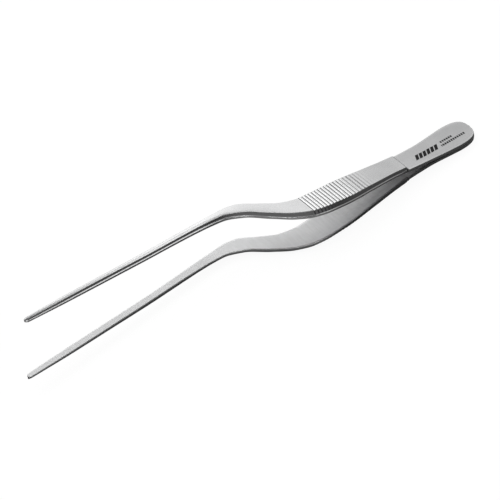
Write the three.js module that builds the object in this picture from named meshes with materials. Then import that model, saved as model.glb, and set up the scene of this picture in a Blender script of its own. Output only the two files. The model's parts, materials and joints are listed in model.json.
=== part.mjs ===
// Bayonet tweezers (Lucae pattern) for planting and trimming in an aquarium, in millimetres.
//
// Two mirror-image leaves of stainless steel are welded together at a flat, rounded butt. Each leaf
// bows away from the other, swells into a ribbed finger grip, steps sideways in a bayonet bend, and
// runs on as a slim shank to a narrow rounded tip.
//
// The leaf frame: u is the distance from the butt end towards the tips, y is sideways (the bayonet
// steps towards +y), and z is the height above the plane where the two leaves meet. The group turns
// that frame so that the tweezers lie on a table as they would at rest: +X runs towards the butt.

import * as THREE from "three";

// ---- driving dimensions ----
const LENGTH = 165;
const PLATE_THICKNESS = 1.05;
const WELD_THICKNESS = 0.16;
const WELD_CLEARANCE = 0.02;
const WELD_INSET = 0.3;
const WELD_END = 12.6;

// The butt seen from above: a rounded end, then edges that close in towards the shoulder.
const BUTT_ROUND_LENGTH = 8;
const BUTT_ROUND_POWER = 2.9;

// The shoulder is the forged step from the flat butt plate up to the full section of the arm.
const SHOULDER_START = 27.1;
const SHOULDER_END = 28.2;
const SHOULDER_MIDDLE = (SHOULDER_START + SHOULDER_END) / 2;
const PLATE_INSET = 0.12;

// Profiles along the leaf, as [distance from the butt end, value].
const CENTRE_LINE = [
  [0, 0], [50, 0], [58, 0.1], [64, 0.55], [70, 2.65], [76, 7.2], [82, 12], [88, 13.75], [95, 13.95],
  [120, 13.5], [165, 13.4],
];
const PLATE_HALF_WIDTH = [[8, 5.17], [13, 4.8], [19, 4.3], [23, 4.15], [27.6, 4]];
const HALF_WIDTH = [
  [27.6, 3.72], [32, 3.85], [41, 4.5], [53, 5.3], [59, 5.25], [65, 4.85], [71, 4.25], [77, 3.85], [83, 3],
  [89, 2], [101, 1.47], [112, 1.28], [148, 1.23], [160, 1.05], [165, 0.92],
];
const THICKNESS = [
  [28, 2.08], [34, 1.98], [47, 2.15], [59, 2.25], [74, 2.05], [91, 1.8], [111, 1.8], [140, 1.7],
  [165, 1.15],
];
const FLANK_INSET = [
  [29, 0.35], [35, 0.5], [47, 0.8], [59, 1.15], [74, 1.25], [91, 0.8], [111, 0.42], [140, 0.58], [165, 0.45],
];
const HALF_GAP = [
  [14, 0], [18, 0.12], [22, 0.4], [27, 0.88], [33, 1.73], [49, 3.45], [64, 5], [75, 6.1], [83, 6.55],
  [90, 6.9], [120, 8.6], [165, 11.2],
];
const INNER_CHAMFER = 0.16;
const OUTER_CHAMFER = 0.14;
const TIP_ROUND_LENGTH = 1.1;

// The arm's flanks are ground back from an upright land beside the inner face, which leaves a ledge. The
// land takes a smaller share of the thickness along the grip.
const LAND_SHARE = [[28, 0.45], [31, 0.3], [78, 0.3], [90, 0.45]];
const LEDGE_INSET = 0.4;
const LEDGE_INSET_SHARE = 0.8;
const LEDGE_RISE = 0.45;

// Ribs across the outside of the grip, whose grooves deepen over the first few.
const RIB_COUNT = 21;
const RIB_START = 40.1;
const RIB_PITCH = 1.2155;
const RIB_DEPTH = 0.24;
const RIB_RUN_IN = 10;
const RIB_RUN_IN_POWER = 1.2;
const RIB_GROOVE = 0.72;
const RIB_GROOVE_FLOOR = 0.2;

// Each leaf bends elastically in the thin plate behind the shoulder. The split between the fixed
// butt and the moving arm lies in the middle of that stretch.
const FLEX_AT = 23;
const FLEX_GAP = 0.3;

// Where the leaf narrows to nothing at its ends, insets and chamfers shrink with it: the most that they may
// take of the half width that is left. The end sections stop just short of the ends.
const INSET_LIMIT = 0.6;
const CHAMFER_LIMIT = 0.3;
const BUTT_END = 0.02;
const TIP_END = 0.01;
const WELD_LEAST_HALF_WIDTH = 0.4;

// The stretch of the leaf that can touch the table, and how finely it is searched for the point that does.
const REST_FROM = 40;
const REST_SAMPLES = 250;

const STEEL = { color: 0xc9cacb, roughness: 0.3, metalness: 1 };
const WELD_STEEL = { color: 0x8f9091, roughness: 0.55, metalness: 1 };

// ---- profiles ----

// A smooth curve through the given points that never overshoots them (monotone cubic).
function profile(points) {
  const slope = (i) => (points[i + 1][1] - points[i][1]) / (points[i + 1][0] - points[i][0]);
  const last = points.length - 1;
  const tangent = points.map((_, i) => {
    if (i === 0 || i === last) return 0;
    const before = slope(i - 1);
    const after = slope(i);
    return before * after <= 0 ? 0 : (2 * before * after) / (before + after);
  });
  tangent[0] = slope(0);
  tangent[last] = slope(last - 1);
  return (u) => {
    if (u <= points[0][0]) return points[0][1];
    if (u >= points[last][0]) return points[last][1];
    const i = points.findIndex((p) => p[0] > u) - 1;
    const span = points[i + 1][0] - points[i][0];
    const t = (u - points[i][0]) / span;
    const rise = points[i + 1][1] - points[i][1];
    const bendIn = span * tangent[i] - rise;
    const bendOut = rise - span * tangent[i + 1];
    return points[i][1] + t * rise + t * (1 - t) * ((1 - t) * bendIn + t * bendOut);
  };
}

const centreLine = profile(CENTRE_LINE);
const plateHalfWidth = profile(PLATE_HALF_WIDTH);
const armHalfWidth = profile(HALF_WIDTH);
const armThickness = profile(THICKNESS);
const armFlankInset = profile(FLANK_INSET);
const armHalfGap = profile(HALF_GAP);
const landShare = profile(LAND_SHARE);

const roundOff = (t, power) => Math.pow(Math.max(0, 1 - Math.pow(t, power)), 1 / power);
const mix = (a, b, t) => a + (b - a) * t;

// 0 on the butt plate, 1 on the arm, with a smooth ramp between.
const shoulder = (u) => THREE.MathUtils.smoothstep(u, SHOULDER_START, SHOULDER_END);

function halfWidth(u) {
  if (u < SHOULDER_MIDDLE) {
    const fromEnd = Math.min(1, u / BUTT_ROUND_LENGTH);
    return plateHalfWidth(u) * roundOff(1 - fromEnd, BUTT_ROUND_POWER);
  }
  const fromTip = Math.min(1, (LENGTH - u) / TIP_ROUND_LENGTH);
  return armHalfWidth(u) * roundOff(1 - fromTip, 2);
}

// Where the inner and outer faces of the leaf lie, above the plane where the two leaves meet.
const innerFace = (u) => WELD_THICKNESS / 2 + WELD_CLEARANCE + armHalfGap(u);
const thickness = (u) => mix(PLATE_THICKNESS, armThickness(u), shoulder(u));
const flankInset = (u) => mix(PLATE_INSET, armFlankInset(u), shoulder(u));

// ---- solids ----

// One side of a leaf's cross-section at u, as [inset from the widest point, height], from the inner face
// to the outer face. ribCut is how deep a rib groove cuts into the outer face there.
function sideProfile(u, ribCut) {
  const half = halfWidth(u);
  const full = thickness(u);
  const low = innerFace(u);
  const high = low + full - ribCut;
  const inset = Math.min(flankInset(u), INSET_LIMIT * half) * (1 - ribCut / full);
  const edge = Math.min(INNER_CHAMFER, CHAMFER_LIMIT * half);
  const round = Math.min(OUTER_CHAMFER, CHAMFER_LIMIT * (half - inset));
  const onArm = shoulder(u);
  const ledge = Math.min(LEDGE_INSET, LEDGE_INSET_SHARE * inset);
  const share = landShare(u);
  const land = [share * inset * (1 - onArm), low + share * full];
  const straight = [mix(land[0], inset, 0.5), mix(land[1], high, 0.5)];
  const foot = [
    mix(straight[0], land[0] + ledge, onArm),
    mix(straight[1], land[1] + LEDGE_RISE * ledge, onArm),
  ];
  return [[edge, low], [0, low + edge], land, foot, [inset, high - round], [inset + round, high]];
}

// One cross-section of a leaf at u: a twelve-sided loop, wide on the inside and narrower outside.
function leafSection(u, side, ribCut = 0) {
  const half = halfWidth(u);
  const profileHere = sideProfile(u, ribCut);
  const near = profileHere.map(([inset, z]) => [half - inset, z]);
  const far = near.map(([y, z]) => [-y, z]).reverse();
  return [...near, ...far].map(([y, z]) => new THREE.Vector3(-u, y + centreLine(u), side * z));
}

// A closed solid through a row of cross-sections that all have the same number of corners.
function loft(sections, side) {
  const corners = sections[0].length;
  const positions = sections.flat().flatMap((p) => [p.x, p.y, p.z]);
  const faces = [];
  const face = (a, b, c) => faces.push(...(side > 0 ? [a, b, c] : [a, c, b]));
  for (let s = 0; s + 1 < sections.length; s += 1) {
    for (let i = 0; i < corners; i += 1) {
      const here = s * corners + i;
      const beside = s * corners + ((i + 1) % corners);
      face(here, here + corners, beside);
      face(beside, here + corners, beside + corners);
    }
  }
  const end = (sections.length - 1) * corners;
  for (let i = 1; i + 1 < corners; i += 1) {
    face(0, i, i + 1);
    face(end, end + i + 1, end + i);
  }
  const geometry = new THREE.BufferGeometry();
  geometry.setAttribute("position", new THREE.Float32BufferAttribute(positions, 3));
  geometry.setIndex(faces);
  geometry.computeVertexNormals();
  return geometry;
}

// Evenly spaced distances from first to last, both included.
function steps(first, last, count) {
  return Array.from({ length: count + 1 }, (_, i) => mix(first, last, i / count));
}

// Distances that crowd towards the round end, so that the curve stays smooth there.
function crowded(end, other, count) {
  return steps(0, 1, count).map((t) => mix(end, other, t * t));
}

const plain = (list, side) => list.map((u) => leafSection(u, side));

function buttPlate(side) {
  const round = crowded(BUTT_END, BUTT_ROUND_LENGTH, 9);
  const straight = [10.5, 13, 16, 19, 21, FLEX_AT - FLEX_GAP / 2];
  return loft(plain([...round, ...straight], side), side);
}

// Four sections for each rib groove: down one side, along its floor and up the other side.
function ribSections(side) {
  const list = [];
  for (let i = 0; i < RIB_COUNT; i += 1) {
    const middle = RIB_START + i * RIB_PITCH;
    const depth = RIB_DEPTH * Math.min(1, (i + 0.5) / RIB_RUN_IN) ** RIB_RUN_IN_POWER;
    list.push(leafSection(middle - RIB_GROOVE / 2, side));
    list.push(leafSection(middle - RIB_GROOVE_FLOOR / 2, side, depth));
    list.push(leafSection(middle + RIB_GROOVE_FLOOR / 2, side, depth));
    list.push(leafSection(middle + RIB_GROOVE / 2, side));
  }
  return list;
}

function arm(side) {
  const root = [FLEX_AT + FLEX_GAP / 2, 25];
  const shoulderRamp = steps(SHOULDER_START, SHOULDER_END, 4);
  const grip = [33, 37];
  const bend = steps(66, 94, 14);
  const shank = [100, 106, 113, 126, 140, 148, 156, 161];
  const tip = crowded(LENGTH - TIP_END, LENGTH - TIP_ROUND_LENGTH, 4).reverse();
  const sections = [
    ...plain([...root, ...shoulderRamp, ...grip], side),
    ...ribSections(side),
    ...plain([...bend, ...shank, ...tip], side),
  ];
  return loft(sections, side);
}

// The fused seam between the two butt plates, a hair inside their outline.
function weldSeam() {
  const list = [...crowded(WELD_INSET, BUTT_ROUND_LENGTH, 8), WELD_END];
  const sections = list.map((u) => {
    const half = Math.max(halfWidth(u) - WELD_INSET, WELD_LEAST_HALF_WIDTH);
    const z = WELD_THICKNESS / 2;
    const loop = [[-half, -z], [half, -z], [half, z], [-half, z]];
    return loop.map(([y, height]) => new THREE.Vector3(-u, y, height));
  });
  return loft(sections, 1);
}

// ---- assembly ----

function named(name, geometry, look) {
  const mesh = new THREE.Mesh(geometry, new THREE.MeshStandardMaterial(look));
  mesh.name = name;
  return mesh;
}

// The steepest line from the butt to the outside of a leaf is the table that the tweezers lie on.
function restTilt() {
  const outside = (u) => innerFace(u) + thickness(u) - innerFace(0) - thickness(0);
  return Math.max(...steps(REST_FROM, LENGTH, REST_SAMPLES).map((u) => Math.atan(outside(u) / u)));
}

const tweezers = new THREE.Group();
tweezers.add(named("upper_leaf_butt", buttPlate(1), STEEL));
tweezers.add(named("lower_leaf_butt", buttPlate(-1), STEEL));
tweezers.add(named("butt_weld", weldSeam(), WELD_STEEL));
tweezers.add(named("upper_leaf_arm", arm(1), STEEL));
tweezers.add(named("lower_leaf_arm", arm(-1), STEEL));
tweezers.rotation.y = restTilt();

// The origin is the middle of the footprint, on the table.
const object = new THREE.Group();
object.add(tweezers);
object.updateMatrixWorld(true);
const extent = new THREE.Box3().setFromObject(tweezers, true);
const middle = extent.getCenter(new THREE.Vector3());
tweezers.position.set(-middle.x, -middle.y, -extent.min.z);

export default object;
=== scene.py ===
import json
import math

import bmesh
import bpy
import numpy as np
from mathutils import Matrix, Vector


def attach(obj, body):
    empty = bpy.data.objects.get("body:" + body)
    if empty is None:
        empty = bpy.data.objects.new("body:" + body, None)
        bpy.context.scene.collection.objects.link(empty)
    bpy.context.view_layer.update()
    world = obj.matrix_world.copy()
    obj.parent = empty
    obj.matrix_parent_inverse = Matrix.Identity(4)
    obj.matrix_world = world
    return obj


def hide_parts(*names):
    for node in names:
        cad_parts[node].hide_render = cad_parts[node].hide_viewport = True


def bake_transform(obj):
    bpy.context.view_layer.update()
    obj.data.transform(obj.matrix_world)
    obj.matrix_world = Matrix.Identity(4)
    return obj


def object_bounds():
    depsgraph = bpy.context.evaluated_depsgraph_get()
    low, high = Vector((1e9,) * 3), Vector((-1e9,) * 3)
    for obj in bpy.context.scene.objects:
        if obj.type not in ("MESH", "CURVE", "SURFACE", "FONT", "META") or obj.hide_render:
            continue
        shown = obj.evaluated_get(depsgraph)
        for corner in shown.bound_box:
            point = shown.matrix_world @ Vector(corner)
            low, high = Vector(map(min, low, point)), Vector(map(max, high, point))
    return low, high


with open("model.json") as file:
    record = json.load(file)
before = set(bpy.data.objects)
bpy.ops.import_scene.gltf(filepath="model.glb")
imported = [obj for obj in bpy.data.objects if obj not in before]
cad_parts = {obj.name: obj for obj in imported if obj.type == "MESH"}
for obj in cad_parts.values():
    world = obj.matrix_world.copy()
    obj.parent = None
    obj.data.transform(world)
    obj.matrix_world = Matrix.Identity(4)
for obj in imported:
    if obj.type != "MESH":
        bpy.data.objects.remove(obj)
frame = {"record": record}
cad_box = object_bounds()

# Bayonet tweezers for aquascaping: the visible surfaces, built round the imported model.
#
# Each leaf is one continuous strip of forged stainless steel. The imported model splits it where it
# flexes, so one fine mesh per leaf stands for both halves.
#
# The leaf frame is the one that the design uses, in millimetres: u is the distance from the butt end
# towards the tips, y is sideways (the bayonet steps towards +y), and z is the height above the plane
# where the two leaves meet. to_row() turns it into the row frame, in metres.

MM = 0.001

# ---- the leaf's shape, in millimetres ----
LENGTH = 165.0
PLATE_THICKNESS = 1.05
MEETING_GAP = 0.1
BUTT_ROUND_LENGTH = 8.0
BUTT_ROUND_POWER = 2.9
SHOULDER_START = 27.1
SHOULDER_END = 28.2
SHOULDER_MIDDLE = (SHOULDER_START + SHOULDER_END) / 2
PLATE_INSET = 0.12
TIP_ROUND_LENGTH = 1.1

# Profiles along the leaf, as [distance from the butt end, value].
CENTRE_LINE = [
    [0, 0], [50, 0], [58, 0.1], [64, 0.55], [70, 2.65], [76, 7.2], [82, 12], [88, 13.75], [95, 13.95],
    [120, 13.5], [165, 13.4],
]
PLATE_HALF_WIDTH = [[8, 5.17], [13, 4.8], [19, 4.3], [23, 4.15], [27.6, 4]]
HALF_WIDTH = [
    [27.6, 3.72], [32, 3.85], [41, 4.5], [53, 5.3], [59, 5.25], [65, 4.85], [71, 4.25], [77, 3.85], [83, 3],
    [89, 2], [101, 1.47], [112, 1.28], [148, 1.23], [160, 1.05], [165, 0.92],
]
THICKNESS = [
    [28, 2.08], [34, 1.98], [47, 2.15], [59, 2.25], [74, 2.05], [91, 1.8], [111, 1.8], [140, 1.7],
    [165, 1.15],
]
FLANK_INSET = [
    [29, 0.35], [35, 0.5], [47, 0.8], [59, 1.15], [74, 1.25], [91, 0.8], [111, 0.42], [140, 0.58],
    [165, 0.45],
]
HALF_GAP = [
    [14, 0], [18, 0.12], [22, 0.4], [27, 0.88], [33, 1.73], [49, 3.45], [64, 5], [75, 6.1], [83, 6.55],
    [90, 6.9], [120, 8.6], [165, 11.2],
]

# The leaf's edge, from the inner face outwards: a rounded inner edge, an upright land, a ledge with a small
# hollow behind it (on the arm only), a leaning flank, and a rounded outer edge.
INNER_EDGE = 0.2
OUTER_EDGE_PLATE = 0.1
OUTER_EDGE_ARM = 0.14
EDGE_STEPS = 6
LAND_SHARE = [[28, 0.45], [31, 0.3], [78, 0.3], [90, 0.45]]
LAND_EDGE = 0.06
LAND_STEPS = 3
LEDGE_INSET = 0.4
LEDGE_INSET_SHARE = 0.8
LEDGE_RISE = 0.45
HOLLOW_SIZE = 0.1
HOLLOW_STEPS = 4
FLANK_STEPS = 4

# The leaf narrows to nothing at its ends: the most of its half width that insets and roundings may take up.
INSET_LIMIT = 0.6
INNER_EDGE_LIMIT = 0.3
OUTER_EDGE_LIMIT = 0.45
LAND_EDGE_LIMIT = 0.2
LEAST_WIDTH = 1e-3

# The inner and outer faces: steps across, and how far the outer face's middle stands above its edges.
FACE_STEPS = 12
CROWN = 0.05
SHANK_CROWN = 0.18
SHANK_CROWN_FADE = (82, 100)
CROWN_FULL_WIDTH = 1.0

# Ribs across the outside of the grip.
RIB_COUNT = 21
RIB_START = 40.1
RIB_PITCH = 1.2155
RIB_DEPTH = 0.24
RIB_GROOVE = 0.84
RIB_RUN_IN = 10
RIB_RUN_IN_POWER = 1.2
RIB_STEPS = 14
RIBS_END = RIB_START + RIB_COUNT * RIB_PITCH

# Cross-sections of the leaf's mesh: evenly spaced runs as (start, end, count), then how many crowd towards
# the butt end and towards the tip.
SECTION_RUNS = [
    (BUTT_ROUND_LENGTH, 18, 10),
    (18, SHOULDER_START, 20),
    (SHOULDER_START, SHOULDER_END, 24),
    (SHOULDER_END, RIB_START - RIB_PITCH / 2, 18),
    (RIBS_END, 96, 90),
    (96, LENGTH - TIP_ROUND_LENGTH, 110),
]
BUTT_SECTIONS = 40
TIP_SECTIONS = 18
SECTION_DIGITS = 5
LEAST_SPACING = 1e-4

# The edge's inward direction follows the outline round the two ends and is sideways in between. It changes
# over from one to the other in these two stretches.
BUTT_TURN = (8.0, 12.0)
TIP_TURN = (LENGTH - 1.6, LENGTH - 1.2)

# The outline's slope is measured over a small step. At the very ends it stands for a right angle.
SLOPE_STEP = 1e-4
STEEPEST = 1e4

# Lengths that count as nothing. Points closer together than the first, in metres, are joined.
SAME_POINT = 2e-8
NO_LENGTH = 1e-9

# The fused seam between the two butt plates, a hair inside their outline.
WELD_START = 0.25
WELD_END = 12.6
WELD_INSET = 0.12
WELD_LEAST_HALF_WIDTH = 0.3
WELD_RIPPLE = 0.05
WELD_RIPPLE_PITCH = 0.9
WELD_RIPPLE_BEAT = 1.7
WELD_SECTIONS = 160
WELD_CORNERS = 16
WELD_SQUARENESS = 0.3

# The steel: brightness of each zone, from 0 to 1. It is matched to how bright each zone looks, so it holds
# part of what the steel mirrors as well as its own colour: the plate, grip, shank and inner-face values are
# partly painted reflection, the rib grooves painted shade, the crests a painted highlight and the dark edge
# walls a painted dark reflection. A fade holds where it starts and ends, along the leaf or across it, and,
# where four numbers are given, the value at each.
PLATE_SHADE = 0.515
GRIP_FADE = (30.0, 66.0, 0.47, 0.69)
SHANK_FADE = (72.0, 96.0, 0.0, 0.21)
# Painted reflection on the inner face: a lift deep between the grips, lighter towards -y and darker towards
# +y there, then lighter at the bend and darker on the shanks.
INNER_FADE = (56.0, 78.0)
INNER_SHADE = (78.0, 96.0, 0.08, -0.07)
INNER_DEEP_SHADE = 0.23
INNER_SIDE = (-4.0, 3.0, 0.1, -0.16)
# Painted shade in the rib grooves, and a painted highlight on the crests between them that fades in over
# the first ribs.
PAINTED_GROOVE_SHADE = 0.54
PAINTED_CREST_HIGHLIGHT = 0.13
CREST_FADE = (39.0, 47.0)
# Painted dark reflection on the edge walls: the whole wall up to the grip, the upright faces on the shank.
PAINTED_EDGE_SHADE = 0.23
BUTT_EDGE_FADE = (54.0, 68.0)
SHANK_EDGE_FADE = (80.0, 92.0)
MARK_SHADE = 0.03
BRIGHTEST = 0.97

# How rough each zone is, and how much of the edge's polish shows.
PLATE_ROUGHNESS = 0.40
ARM_ROUGHNESS = 0.27
INNER_ROUGHNESS = 0.38
INNER_DEEP_ROUGHNESS = 0.6
EDGE_ROUGHNESS = 0.2
EDGE_POLISH = 0.85
MARK_ROUGHNESS = 0.6

# Grain: the stretch of the noise along each leaf axis, its detail and its roughness. The noise varies what
# follows as it goes through its usual range.
BRUSHED_GRAIN = ((0.25, 6.0, 6.0), 2.0, 0.5)
CROSSWISE_GRAIN = ((1.2, 0.18, 0.2), 2.0, 0.5)
BLASTED_GRAIN = ((4.0, 4.0, 4.0), 2.0, 0.6)
CLOUDY_GRAIN = ((0.12, 0.12, 0.12), 2.0, 0.5)
WELD_GRAIN = ((2.5, 2.5, 2.5), 3.0, 0.6)
GRAIN_RANGE = (0.3, 0.7)
CLOUDY_SHADE = (-0.02, 0.02)
BLASTED_SHADE = (-0.015, 0.015)
CROSSWISE_SHADE = (-0.03, 0.02)
BRUSHED_ROUGHNESS = (-0.02, 0.02)
WELD_SHADE = (0.30, 0.48)
WELD_ROUGHNESS = (0.6, 0.45)

# The relief of the grain, as its depth in metres and its strength.
STEEL_RELIEF = (1e-6, 0.2)
WELD_RELIEF = (3e-5, 0.6)

# Hues.
STEEL_TINT = (1.0, 1.003, 1.008)
WELD_TINT = (1.0, 0.995, 0.985)
NEUTRAL = (1.0, 1.0, 1.0)

# The parts of the etched mark, each as start and end from the butt end, low and high edge in y, pitch of
# the dashes, filled share of a pitch, and slant. They show only above a height, which on the butt only the
# upper leaf's outer face reaches.
MARKS = [
    (12.9, 21.9, -1.85, 0.35, 1.5, 0.76, 0.5),
    (7.0, 11.9, -0.3, 0.5, 0.8, 0.7, 0.0),
    (3.1, 12.3, -1.85, -0.95, 0.8, 0.7, 0.0),
]
MARK_EDGE = 0.06
MARK_HEIGHT = 1.1

# The mount on the butt plate's outer face, from the butt end.
MOUNT_FROM_END = 13.0

# ---- the studio: angles in degrees, lengths in metres ----

# The camera: the width it sees, the point it looks at in millimetres from the model's middle, its sensor
# and lens in millimetres, and how near and far it sees as shares of its distance.
VIEW_AZIMUTH = -33.16
VIEW_ELEVATION = 45.72
VIEW_ROLL = -9.16
FIELD = 0.15313
LOOK_AT_OFFSET = (-1.55, -1.35, -7.28)
SENSOR = 36.0
LENS = 1500.0
NEAREST_SHARE = 0.01
FARTHEST_SHARE = 10.0

# The floor's brightness as a mirror sees it, from near to far along y, and as the camera sees it.
FLOOR_NEAR = 0.32
FLOOR_FAR = 0.85
FLOOR_FADE = (0.02, 0.3)
FLOOR_WHITE = 0.93
FLOOR_SHADOW = 0.12
FLOOR_REACH = 3.0
FLOOR_DROP = 0.0001
WORLD_STRENGTH = 0.12
WORLD_WHITE = 0.95

# Each soft box as name, azimuth, elevation, distance, (width, height) and power in watts.
SOFT_BOXES = [
    ("key_box", 137.0, 24.0, 1.6, (1.5, 1.3), 5.9),
    ("back_box", 205.0, 55.0, 1.6, (1.2, 0.9), 8.0),
    ("side_box", 90.0, 42.0, 1.6, (0.9, 0.8), 2.4),
    ("top_box", 90.0, 86.0, 1.6, (0.7, 0.5), 3.0),
    ("left_box", 262.0, 25.0, 1.6, (2.2, 1.6), 3.8),
    ("back_strip", 200.0, 9.0, 1.6, (2.2, 0.8), 1.9),
    ("front_box", 340.0, 42.0, 1.6, (1.8, 0.6), 2.2),
]


# ---- profiles ----

def profile(points):
    """A smooth curve through the points that never overshoots them (monotone cubic), as a function."""
    x, y = np.array(points, float).T
    slope = np.diff(y) / np.diff(x)
    tangent = np.empty_like(y)
    tangent[0] = slope[0]
    tangent[-1] = slope[-1]
    before, after = slope[:-1], slope[1:]
    turning = before * after <= 0
    total = np.where(turning, 1.0, before + after)
    tangent[1:-1] = np.where(turning, 0.0, 2 * before * after / total)

    def at(u):
        u = np.clip(u, x[0], x[-1])
        i = np.clip(np.searchsorted(x, u, side="right") - 1, 0, len(x) - 2)
        span = x[i + 1] - x[i]
        t = (u - x[i]) / span
        rise = y[i + 1] - y[i]
        bend_in = span * tangent[i] - rise
        bend_out = rise - span * tangent[i + 1]
        return y[i] + t * rise + t * (1 - t) * ((1 - t) * bend_in + t * bend_out)

    return at


centre_line = profile(CENTRE_LINE)
plate_half_width = profile(PLATE_HALF_WIDTH)
arm_half_width = profile(HALF_WIDTH)
arm_thickness = profile(THICKNESS)
arm_flank_inset = profile(FLANK_INSET)
arm_half_gap = profile(HALF_GAP)
land_share = profile(LAND_SHARE)


def smoothstep(u, start, end):
    t = np.clip((u - start) / (end - start), 0, 1)
    return t * t * (3 - 2 * t)


def round_off(t, power):
    return np.maximum(0.0, 1 - np.clip(t, 0, 1) ** power) ** (1 / power)


def half_width(u):
    """Half the leaf's width: a rounded butt end, sides that close in to the shoulder, then the arm."""
    plate = plate_half_width(u) * round_off(1 - u / BUTT_ROUND_LENGTH, BUTT_ROUND_POWER)
    arm = arm_half_width(u) * round_off(1 - (LENGTH - u) / TIP_ROUND_LENGTH, 2)
    return np.where(u < SHOULDER_MIDDLE, plate, arm)


def inner_height(u):
    return MEETING_GAP + arm_half_gap(u)


def onto_arm(u):
    """0 on the butt plate and 1 on the arm, eased over at the shoulder."""
    return smoothstep(u, SHOULDER_START, SHOULDER_END)


def plate_to_arm(u, on_plate, on_arm):
    return on_plate + (on_arm - on_plate) * onto_arm(u)


def thickness(u):
    return plate_to_arm(u, PLATE_THICKNESS, arm_thickness(u))


def flank_inset(u):
    return plate_to_arm(u, PLATE_INSET, arm_flank_inset(u))


def outer_edge(u):
    return plate_to_arm(u, OUTER_EDGE_PLATE, OUTER_EDGE_ARM)


def crown(u):
    """How far the middle of the arm's outer face stands above its edges."""
    onto_shank = smoothstep(u, *SHANK_CROWN_FADE)
    full = CROWN * onto_arm(u) + (SHANK_CROWN - CROWN) * onto_shank
    return full * np.minimum(1, half_width(u) / CROWN_FULL_WIDTH)


def rib_depth(u):
    """How deep the finger ribs' grooves cut into the outer face: rounded troughs between round crests."""
    depth = np.zeros_like(u)
    for i in range(RIB_COUNT):
        middle = RIB_START + i * RIB_PITCH
        t = np.clip(np.abs(u - middle) / (RIB_GROOVE / 2), 0, 1)
        fade = min(1.0, (i + 0.5) / RIB_RUN_IN) ** RIB_RUN_IN_POWER
        depth += RIB_DEPTH * fade * (0.5 + 0.5 * np.cos(math.pi * t))
    return depth


# ---- the leaf's mesh ----

def stations():
    """Distances along the leaf where its cross-sections lie, close together where the shape is fine."""
    rib_step = RIB_PITCH / RIB_STEPS
    ribs_from = RIB_START - RIB_PITCH / 2
    parts = [np.linspace(*run) for run in SECTION_RUNS]
    parts += [
        BUTT_ROUND_LENGTH * np.linspace(0, 1, BUTT_SECTIONS) ** 2,
        np.arange(ribs_from, RIBS_END - RIB_PITCH / 2 + rib_step, rib_step),
        LENGTH - TIP_ROUND_LENGTH * np.linspace(1, 0, TIP_SECTIONS) ** 2,
    ]
    every = np.unique(np.round(np.concatenate(parts), SECTION_DIGITS))
    apart = np.concatenate([[True], np.diff(every) > LEAST_SPACING])
    return every[apart]


def toward(corner, other):
    """The unit vectors from the corners to the other points, or zero where the two coincide."""
    run = other - corner
    return run / np.maximum(np.linalg.norm(run, axis=-1, keepdims=True), NO_LENGTH)


def fillet(before, corner, after, size, steps):
    """Points of a rounded corner, from the side of before to the side of after (a quadratic curve)."""
    start = corner + toward(corner, before) * size[:, None]
    end = corner + toward(corner, after) * size[:, None]
    shares = np.linspace(0, 1, steps + 1)
    return [(1 - s) ** 2 * start + 2 * s * (1 - s) * corner + s ** 2 * end for s in shares]


def pairs(first, second):
    return np.stack([first, second], axis=-1)


def side_corners(u):
    """The sharp corners of the leaf's edge at each station, as (inward offset, height): the inner corner,
    the land's top, the foot of the flank, and the outer corner."""
    low = inner_height(u)
    full = thickness(u)
    cut = rib_depth(u)
    inset = np.minimum(flank_inset(u), INSET_LIMIT * half_width(u))
    inset_here = inset * (1 - cut / full)
    share = land_share(u)
    ledge = np.minimum(LEDGE_INSET, LEDGE_INSET_SHARE * inset_here)
    inner = pairs(np.zeros_like(u), low)
    land = pairs(share * inset * (1 - onto_arm(u)), low + share * full)
    outer = pairs(inset_here, low + full - cut)
    hollow = land + pairs(ledge, LEDGE_RISE * ledge)
    straight = (land + outer) / 2
    foot = straight + (hollow - straight) * onto_arm(u)[:, None]
    return inner, land, foot, outer


def side_profile(u):
    """The leaf's edge from the inner face to the outer face, as layers of (inward offset, height) per
    station: an upright land beside the inner face and a flank up to the outer face. On the arm a narrow
    ledge lies between the two, where the flank's grinding stops short of the land."""
    inner_corner, land_corner, foot, outer_corner = side_corners(u)
    inward = pairs(np.ones_like(u), np.zeros_like(u))
    half = half_width(u)
    room = np.maximum(half, LEAST_WIDTH)
    outer_room = np.maximum(half - outer_corner[:, 0], LEAST_WIDTH)
    inner_size = np.minimum(INNER_EDGE, INNER_EDGE_LIMIT * room)
    land_size = np.minimum(LAND_EDGE, LAND_EDGE_LIMIT * room)
    hollow_size = np.minimum(HOLLOW_SIZE, LAND_EDGE_LIMIT * room)
    outer_size = np.minimum(outer_edge(u), OUTER_EDGE_LIMIT * outer_room)
    inner = fillet(inner_corner + inward, inner_corner, land_corner, inner_size, EDGE_STEPS)
    land = fillet(inner_corner, land_corner, foot, land_size, LAND_STEPS)
    hollow = fillet(land_corner, foot, outer_corner, hollow_size, HOLLOW_STEPS)
    outer = fillet(foot, outer_corner, outer_corner + inward, outer_size, EDGE_STEPS)
    shares = np.linspace(0, 1, FLANK_STEPS + 1)[1:-1]
    flank = [hollow[-1] * (1 - s) + outer[0] * s for s in shares]
    return inner + land + hollow + flank + outer


def outline(u, sign):
    """A point of the leaf's outline per station, and the inward direction there, as (along u, along y)."""
    half = half_width(u)
    slope = (half_width(u + SLOPE_STEP) - half_width(u - SLOPE_STEP)) / (2 * SLOPE_STEP)
    slope = np.where(u < SLOPE_STEP, STEEPEST, slope)
    slope = np.where(u > LENGTH - SLOPE_STEP, -STEEPEST, slope)
    slope = slope * (1 - smoothstep(u, *BUTT_TURN) + smoothstep(u, *TIP_TURN))
    size = np.hypot(slope, 1)
    inward = pairs(slope / size, -sign / size)
    return pairs(u, centre_line(u) + sign * half), inward


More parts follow.
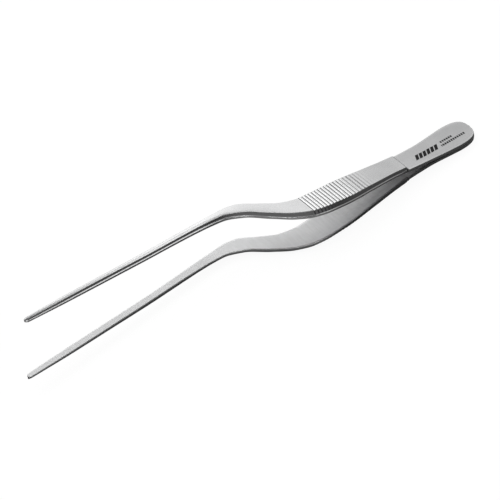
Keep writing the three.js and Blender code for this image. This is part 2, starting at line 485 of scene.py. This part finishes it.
def leaf_points(u, side):
    """The leaf's rings of points, one per station: along the inner face from -y to +y, up the +y edge, back
    along the outer face, and down the -y edge."""
    layers = side_profile(u)
    edges = {}
    for sign in (-1, 1):
        base, inward = outline(u, sign)
        edges[sign] = [
            np.column_stack([base + inward * layer[:, :1], layer[:, 1]]) for layer in layers
        ]
    ring = []
    across = np.linspace(0, 1, FACE_STEPS + 1)[1:-1]
    for s in across:
        ring.append(edges[-1][0] * (1 - s) + edges[1][0] * s)
    ring += edges[1]
    for s in across:
        face = edges[1][-1] * (1 - s) + edges[-1][-1] * s
        face[:, 2] += 4 * s * (1 - s) * crown(u)
        ring.append(face)
    ring += edges[-1][::-1]
    rings = np.stack(ring, axis=1)
    rings[:, :, 2] *= side
    return rings


def ring_mesh(name, rings, flip):
    """A tube of faces through rings of points. It is closed where an end ring is folded flat, as a leaf's
    are."""
    count, corners = rings.shape[:2]
    index = np.arange(count * corners).reshape(count, corners)
    here = index[:-1]
    there = index[1:]
    quads = np.stack([here, there, np.roll(there, -1, axis=1), np.roll(here, -1, axis=1)], axis=-1)
    quads = quads.reshape(-1, 4)
    if flip:
        quads = quads[:, ::-1]
    mesh = bpy.data.meshes.new(name)
    mesh.from_pydata(rings.reshape(-1, 3).tolist(), [], quads.tolist())
    return mesh


def weld_and_smooth(mesh):
    """Joins the points that coincide, drops faces with no area, and shades the mesh smooth."""
    work = bmesh.new()
    work.from_mesh(mesh)
    bmesh.ops.remove_doubles(work, verts=work.verts, dist=SAME_POINT)
    bmesh.ops.dissolve_degenerate(work, edges=work.edges, dist=NO_LENGTH)
    bmesh.ops.recalc_face_normals(work, faces=work.faces)
    for face in work.faces:
        face.smooth = True
    work.to_mesh(mesh)
    work.free()


# ---- the row frame ----

def row_frame():
    """The matrix from the leaf frame to the row frame, in metres. The upper butt face's mount lies on the
    middle line of the plate, and its axis is the leaf's own up."""
    mount = next(m for m in frame["record"]["mounts"] if m["name"] == "butt_upper_face")
    up = Vector(mount["axis"]).normalized()
    sideways = Vector((0, 1, 0))
    towards_butt = sideways.cross(up).normalized()
    turn = Matrix((towards_butt, sideways, up)).transposed()
    on_leaf = Vector((-MOUNT_FROM_END, 0, MEETING_GAP + PLATE_THICKNESS)) * MM
    shift = Vector(mount["pos_m"]) - turn @ on_leaf
    return Matrix.Translation(shift) @ turn.to_4x4()


TO_ROW = row_frame()


def to_row(points):
    """Leaf-frame points (u, y, z) in millimetres as row-frame points in metres."""
    metres = points.reshape(-1, 3) * np.array([-1, 1, 1]) * MM
    turn = np.array(TO_ROW)
    return (metres @ turn[:3, :3].T + turn[:3, 3]).reshape(points.shape)


# ---- pieces ----

def add_piece(name, rings, flip, zones):
    """A smooth piece through rings of leaf-frame points. Its material reads the leaf-frame position at rest
    and the zones, so both are kept on the mesh."""
    mesh = ring_mesh(name, to_row(rings), flip)
    position = mesh.attributes.new("leaf", "FLOAT_VECTOR", "POINT")
    position.data.foreach_set("vector", rings.reshape(-1).astype(np.float32))
    for label, values in zones.items():
        zone = mesh.attributes.new(label, "FLOAT", "POINT")
        zone.data.foreach_set("value", values.reshape(-1).astype(np.float32))
    weld_and_smooth(mesh)
    piece = bpy.data.objects.new(name, mesh)
    bpy.context.scene.collection.objects.link(piece)
    return piece


def leaf_zones(u):
    """How much each point of the leaf's rings belongs to a zone, from 0 to 1: to an edge, to the wall of an
    edge below its outer rounding, to the upright faces of that wall, to the inner face, to a rib groove."""
    layers = 2 * (EDGE_STEPS + 1) + (LAND_STEPS + 1) + (HOLLOW_STEPS + 1) + (FLANK_STEPS - 1)
    layer = np.arange(layers)
    flank_from = (EDGE_STEPS + 1) + (LAND_STEPS + 1) + HOLLOW_STEPS
    on_land = (layer == EDGE_STEPS) | (layer == EDGE_STEPS + 1)
    on_flank = (layer >= flank_from) & (layer <= flank_from + FLANK_STEPS)
    on_wall = (layer > 0) & (layer < layers - EDGE_STEPS)
    outer_half = layer >= layers // 2
    everywhere = np.ones(layers)
    nowhere = np.zeros(layers)

    def zone(strength, inner_face, edge, outer_face):
        inner = np.full(FACE_STEPS - 1, inner_face)
        outer = np.full(FACE_STEPS - 1, outer_face)
        return np.outer(strength, np.concatenate([inner, edge, outer, edge[::-1]]))

    full = np.ones_like(u)
    return {
        "edge": zone(full, 0, everywhere, 0),
        "wall": zone(full, 0, on_wall, 0),
        "upright": zone(full, 0, on_land | on_flank, 0),
        "inner": zone(full, 1, nowhere, 0),
        "groove": zone(rib_depth(u) / RIB_DEPTH, 0, outer_half, 1),
    }


def make_leaf(name, side, material):
    u = stations()
    piece = add_piece(name, leaf_points(u, side), side < 0, leaf_zones(u))
    piece.data.materials.append(material)
    return piece


def make_weld(material):
    """The fused seam, filling the hairline between the two butt plates, with a slightly uneven edge."""
    u = np.linspace(WELD_START, WELD_END, WELD_SECTIONS)
    ripple = WELD_RIPPLE * np.sin(2 * math.pi * u / WELD_RIPPLE_PITCH) * np.sin(u * WELD_RIPPLE_BEAT)
    half = np.maximum(half_width(u) - WELD_INSET + ripple, WELD_LEAST_HALF_WIDTH)
    ring = []
    for angle in np.linspace(0, 2 * math.pi, WELD_CORNERS + 1)[:-1]:
        across = np.sign(math.cos(angle)) * abs(math.cos(angle)) ** WELD_SQUARENESS * half
        height = np.full_like(u, math.sin(angle) * MEETING_GAP)
        ring.append(np.stack([u, across, height], axis=-1))
    piece = add_piece("butt_weld_seam", np.stack(ring, axis=1), False, {})
    piece.data.materials.append(material)
    return piece


# ---- materials ----

class Nodes:
    """A node tree that is written as a row of short calls."""

    def __init__(self, name):
        self.material = bpy.data.materials.new(name)
        self.material.use_nodes = True
        self.tree = self.material.node_tree
        self.tree.nodes.clear()

    def add(self, kind, **settings):
        node = self.tree.nodes.new("ShaderNode" + kind)
        for key, value in settings.items():
            setattr(node, key, value)
        return node

    def link(self, output, target):
        self.tree.links.new(output, target)

    def put(self, value, socket):
        if isinstance(value, bpy.types.NodeSocket):
            self.link(value, socket)
        else:
            socket.default_value = value

    def attribute(self, name, output="Fac"):
        return self.add("Attribute", attribute_name=name).outputs[output]

    def split(self, vector):
        node = self.add("SeparateXYZ")
        self.link(vector, node.inputs[0])
        return node.outputs

    def grain(self, vector, stretch, detail, roughness):
        """Noise from 0 to 1, finer along the axes that are stretched more."""
        stretched = self.add("VectorMath", operation="MULTIPLY")
        self.link(vector, stretched.inputs[0])
        stretched.inputs[1].default_value = stretch
        noise = self.add("TexNoise")
        self.link(stretched.outputs[0], noise.inputs["Vector"])
        noise.inputs["Scale"].default_value = 1.0
        noise.inputs["Detail"].default_value = detail
        noise.inputs["Roughness"].default_value = roughness
        return noise.outputs["Fac"]

    def spread(self, value, low, high, to_low, to_high):
        """The value eased from to_low at low to to_high at high, and held beyond them."""
        node = self.add("MapRange", interpolation_type="SMOOTHSTEP")
        self.put(value, node.inputs["Value"])
        self.put(low, node.inputs["From Min"])
        self.put(high, node.inputs["From Max"])
        self.put(to_low, node.inputs["To Min"])
        self.put(to_high, node.inputs["To Max"])
        return node.outputs["Result"]

    def varied(self, grain, to_low, to_high):
        return self.spread(grain, *GRAIN_RANGE, to_low, to_high)

    def within(self, value, low, high, soft):
        """1 where the value lies between low and high, 0 outside, with soft ends."""
        rising = self.spread(value, low - soft, low + soft, 0.0, 1.0)
        falling = self.spread(value, high - soft, high + soft, 1.0, 0.0)
        return self.math("MULTIPLY", rising, falling)

    def math(self, operation, a, b=0.0):
        node = self.add("Math", operation=operation)
        self.put(a, node.inputs[0])
        self.put(b, node.inputs[1])
        return node.outputs[0]

    def mix(self, share, a, b):
        node = self.add("Mix", data_type="FLOAT")
        self.put(share, node.inputs[0])
        self.put(a, node.inputs[2])
        self.put(b, node.inputs[3])
        return node.outputs[0]

    def tinted(self, value, tint):
        node = self.add("VectorMath", operation="SCALE")
        node.inputs[0].default_value = tint
        self.put(value, node.inputs["Scale"])
        return node.outputs[0]

    def bump(self, height, distance, strength):
        node = self.add("Bump")
        self.link(height, node.inputs["Height"])
        node.inputs["Distance"].default_value = distance
        node.inputs["Strength"].default_value = strength
        return node.outputs["Normal"]

    def metal(self, colour, roughness, normal):
        shader = self.add("BsdfPrincipled")
        shader.inputs["Metallic"].default_value = 1.0
        self.put(colour, shader.inputs["Base Color"])
        self.put(roughness, shader.inputs["Roughness"])
        self.link(normal, shader.inputs["Normal"])
        return self.finish(shader)

    def finish(self, shader):
        output = self.add("OutputMaterial")
        self.link(shader.outputs[0], output.inputs["Surface"])
        return self.material


def etched_mark(n, along, across, up):
    """The etched mark on the upper butt, kept generic: a plain hatched block and two dashed lines."""
    marked = None
    for start, end, low, high, pitch, filled, slant in MARKS:
        slanted = n.math("ADD", along, n.math("MULTIPLY", across, slant))
        in_length = n.within(slanted, start, end, MARK_EDGE)
        in_width = n.within(across, low, high, MARK_EDGE)
        phase = n.math("FRACT", n.math("DIVIDE", n.math("SUBTRACT", slanted, start), pitch))
        dash = n.within(phase, 0.5 - filled / 2, 0.5 + filled / 2, MARK_EDGE / pitch)
        one = n.math("MULTIPLY", n.math("MULTIPLY", in_length, in_width), dash)
        marked = one if marked is None else n.math("MAXIMUM", marked, one)
    return n.math("MULTIPLY", n.math("GREATER_THAN", up, MARK_HEIGHT), marked)


def inner_grain_and_painted_reflection(n, leaf, along, across, deep):
    """What the inner face adds to the brightness: a crosswise grain, and painted reflection between the
    grips and then from the bend to the tips.
    """
    crosswise = n.varied(n.grain(leaf, *CROSSWISE_GRAIN), *CROSSWISE_SHADE)
    between_grips = n.math("ADD", n.spread(across, *INNER_SIDE), INNER_DEEP_SHADE)
    return n.math("ADD", crosswise, n.mix(deep, n.spread(along, *INNER_SHADE), between_grips))


def painted_crest_highlight(n, along, inner, groove):
    """The painted highlight that the crests between the rib grooves add to the brightness. It fades in over
    the first ribs.
    """
    ribbed = n.math("LESS_THAN", along, RIBS_END - RIB_PITCH / 2)
    full = n.math("MULTIPLY", n.spread(along, *CREST_FADE, 0.0, 1.0), ribbed)
    flat = n.math("SUBTRACT", 1.0, n.math("MAXIMUM", inner, groove))
    return n.math("MULTIPLY", n.math("MULTIPLY", full, flat), PAINTED_CREST_HIGHLIGHT)


def painted_dark_edges(n, along):
    """Where the edges carry a painted dark reflection: the whole wall up to the grip, and only its upright
    faces on the shank.
    """
    butt = n.math("MULTIPLY", n.attribute("wall"), n.spread(along, *BUTT_EDGE_FADE, 1.0, 0.0))
    shank = n.math("MULTIPLY", n.attribute("upright"), n.spread(along, *SHANK_EDGE_FADE, 0.0, 1.0))
    return n.math("MAXIMUM", butt, shank)


def satin_steel():
    """Stainless steel: blasted satin on the butt, finely brushed on the arms, polished along the edges."""
    n = Nodes("satin_steel")
    leaf = n.attribute("leaf", "Vector")
    inner = n.attribute("inner")
    groove = n.attribute("groove")
    along, across, up = n.split(leaf)
    on_arm = n.spread(along, SHOULDER_START, SHOULDER_END, 0.0, 1.0)
    deep = n.spread(along, *INNER_FADE, 1.0, 0.0)
    mark = etched_mark(n, along, across, up)
    brushed = n.grain(leaf, *BRUSHED_GRAIN)
    blasted = n.grain(leaf, *BLASTED_GRAIN)

    # Partly painted reflection: the grip darker towards the butt, the shank lighter towards the tips.
    arm_shade = n.math("ADD", n.spread(along, *GRIP_FADE), n.spread(along, *SHANK_FADE))
    shade = n.mix(on_arm, PLATE_SHADE, arm_shade)
    shade = n.math("ADD", shade, n.varied(n.grain(leaf, *CLOUDY_GRAIN), *CLOUDY_SHADE))
    shade = n.math("ADD", shade, n.varied(blasted, *BLASTED_SHADE))
    # Painted reflection on the inner face, with its crosswise grain.
    shade = n.math("ADD", shade, n.math("MULTIPLY", inner, inner_grain_and_painted_reflection(n, leaf, along, across, deep)))
    # Painted highlight on the rib crests.
    shade = n.math("ADD", shade, painted_crest_highlight(n, along, inner, groove))
    # Painted shade in the rib grooves.
    shade = n.math("SUBTRACT", shade, n.math("MULTIPLY", groove, PAINTED_GROOVE_SHADE))
    shade = n.math("MINIMUM", shade, BRIGHTEST)
    # Painted dark reflection on the edge walls.
    shade = n.mix(painted_dark_edges(n, along), shade, PAINTED_EDGE_SHADE)
    shade = n.mix(mark, shade, MARK_SHADE)

    rough = n.mix(on_arm, PLATE_ROUGHNESS, ARM_ROUGHNESS)
    rough = n.mix(inner, rough, n.mix(deep, INNER_ROUGHNESS, INNER_DEEP_ROUGHNESS))
    rough = n.mix(n.math("MULTIPLY", n.attribute("edge"), EDGE_POLISH), rough, EDGE_ROUGHNESS)
    rough = n.math("ADD", rough, n.varied(brushed, *BRUSHED_ROUGHNESS))
    rough = n.mix(mark, rough, MARK_ROUGHNESS)
    relief = n.bump(n.mix(on_arm, blasted, brushed), *STEEL_RELIEF)
    return n.metal(n.tinted(shade, STEEL_TINT), rough, relief)


def weld_steel():
    """The fused seam: dull, with the slight ripple of a ground-down weld."""
    n = Nodes("weld_steel")
    ripple = n.grain(n.attribute("leaf", "Vector"), *WELD_GRAIN)
    shade = n.varied(ripple, *WELD_SHADE)
    rough = n.varied(ripple, *WELD_ROUGHNESS)
    return n.metal(n.tinted(shade, WELD_TINT), rough, n.bump(ripple, *WELD_RELIEF))


def grey(value):
    return (value, value, value, 1.0)


def floor_material():
    """A pale matt floor. The camera sees it nearly white, as an overexposed studio table is, with only a
    trace of the shadows."""
    n = Nodes("pale_floor")
    place = n.split(n.add("NewGeometry").outputs["Position"])
    matt = n.add("BsdfDiffuse")
    bright = n.spread(place[1], *FLOOR_FADE, FLOOR_NEAR, FLOOR_FAR)
    n.link(n.tinted(bright, NEUTRAL), matt.inputs["Color"])
    white = n.add("Emission")
    white.inputs["Color"].default_value = grey(FLOOR_WHITE)
    faint = n.add("BsdfDiffuse")
    faint.inputs["Color"].default_value = grey(FLOOR_SHADOW)
    seen = n.add("AddShader")
    n.link(white.outputs[0], seen.inputs[0])
    n.link(faint.outputs[0], seen.inputs[1])
    either = n.add("MixShader")
    n.link(n.add("LightPath").outputs["Is Camera Ray"], either.inputs[0])
    n.link(matt.outputs[0], either.inputs[1])
    n.link(seen.outputs[0], either.inputs[2])
    return n.finish(either)


# ---- the studio ----

def direction(azimuth, elevation):
    """A unit vector that points from the object towards that azimuth (0 is -Y, 90 is +X) and elevation."""
    a = math.radians(azimuth)
    e = math.radians(elevation)
    return Vector((math.sin(a) * math.cos(e), -math.cos(a) * math.cos(e), math.sin(e)))


def aim(thing, place, target, roll=0.0):
    thing.location = place
    turn = (target - place).to_track_quat("-Z", "Y").to_matrix()
    thing.rotation_euler = (turn @ Matrix.Rotation(math.radians(roll), 3, "Z")).to_euler()


def soft_box(name, azimuth, elevation, distance, size, power):
    light = bpy.data.lights.new(name, "AREA")
    light.shape = "RECTANGLE"
    light.size, light.size_y = size
    light.energy = power
    thing = bpy.data.objects.new(name, light)
    bpy.context.scene.collection.objects.link(thing)
    thing.visible_camera = False
    aim(thing, centre + direction(azimuth, elevation) * distance, centre)


def make_floor():
    mesh = bpy.data.meshes.new("floor")
    signs = ((-1, -1), (1, -1), (1, 1), (-1, 1))
    corners = [(x * FLOOR_REACH, y * FLOOR_REACH, -FLOOR_DROP) for x, y in signs]
    mesh.from_pydata(corners, [], [(0, 1, 2, 3)])
    mesh.materials.append(floor_material())
    floor = bpy.data.objects.new("floor", mesh)
    bpy.context.scene.collection.objects.link(floor)


def make_world():
    """Dim light from all round. The camera sees the backdrop white, like the floor."""
    world = bpy.data.worlds.new("studio")
    world.use_nodes = True
    tree = world.node_tree
    background = tree.nodes["Background"]
    background.inputs["Color"].default_value = grey(1.0)
    path = tree.nodes.new("ShaderNodeLightPath")
    strength = tree.nodes.new("ShaderNodeMath")
    strength.operation = "MULTIPLY_ADD"
    strength.inputs[1].default_value = WORLD_WHITE - WORLD_STRENGTH
    strength.inputs[2].default_value = WORLD_STRENGTH
    tree.links.new(path.outputs["Is Camera Ray"], strength.inputs[0])
    tree.links.new(strength.outputs[0], background.inputs["Strength"])
    bpy.context.scene.world = world


def make_camera():
    """A long lens at the viewing angle, tilted a little about its own axis."""
    data = bpy.data.cameras.new("camera")
    data.sensor_width = SENSOR
    data.lens = LENS
    distance = FIELD * LENS / SENSOR
    data.clip_start = NEAREST_SHARE * distance
    data.clip_end = FARTHEST_SHARE * distance
    camera = bpy.data.objects.new("camera", data)
    bpy.context.scene.collection.objects.link(camera)
    target = centre + Vector(LOOK_AT_OFFSET) * MM
    aim(camera, target + direction(VIEW_AZIMUTH, VIEW_ELEVATION) * distance, target, VIEW_ROLL)
    bpy.context.scene.camera = camera


# ---- assembly ----

centre = (cad_box[0] + cad_box[1]) / 2
steel = satin_steel()
for label, side in (("upper", 1), ("lower", -1)):
    piece = make_leaf(label + "_leaf", side, steel)
    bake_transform(piece)
    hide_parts(label + "_leaf_butt", label + "_leaf_arm")

seam = make_weld(weld_steel())
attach(seam, "root")
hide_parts("butt_weld")

make_floor()
make_world()
for box in SOFT_BOXES:
    soft_box(*box)
make_camera()
bpy.context.scene.view_settings.view_transform = "Standard"
